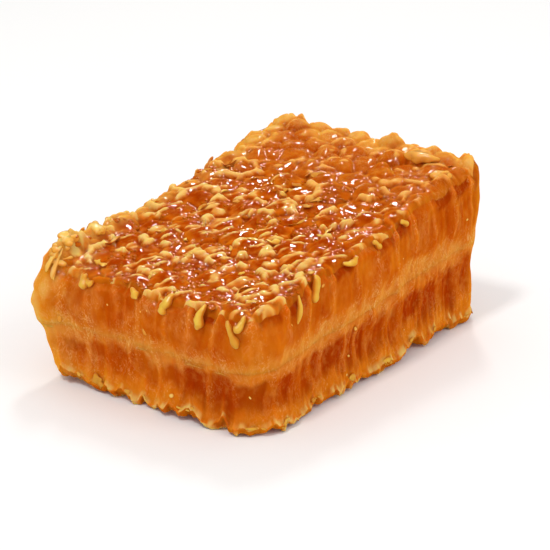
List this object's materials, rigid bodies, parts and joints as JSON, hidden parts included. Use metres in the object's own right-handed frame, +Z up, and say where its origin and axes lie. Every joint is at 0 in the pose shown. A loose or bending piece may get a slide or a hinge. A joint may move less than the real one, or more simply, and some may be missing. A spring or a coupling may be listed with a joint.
{
  "type": "honeycomb piece",
  "caption": "Cut rectangular piece of honey-filled honeycomb: two layers of hexagonal cells on a wax midrib, open cells on top, standing on its flat underside.",
  "frame": {"origin": "middle of the underside, at the base of the bounding box", "axes": "+Z up, through both layers of cells; +Y along the long side, towards the thicker end; +X along the short side"},
  "size_m": [0.0434, 0.0629, 0.0285],
  "materials": {
    "honey_filled_comb": "amber honey behind thin wax, wet and glossy, translucent",
    "beeswax": "pale yellow beeswax, satin, translucent"
  },
  "bodies": {
    "root": {"upper_cells": "honey_filled_comb", "midrib": "beeswax", "lower_cells": "honey_filled_comb"}
  },
  "joints": []
}
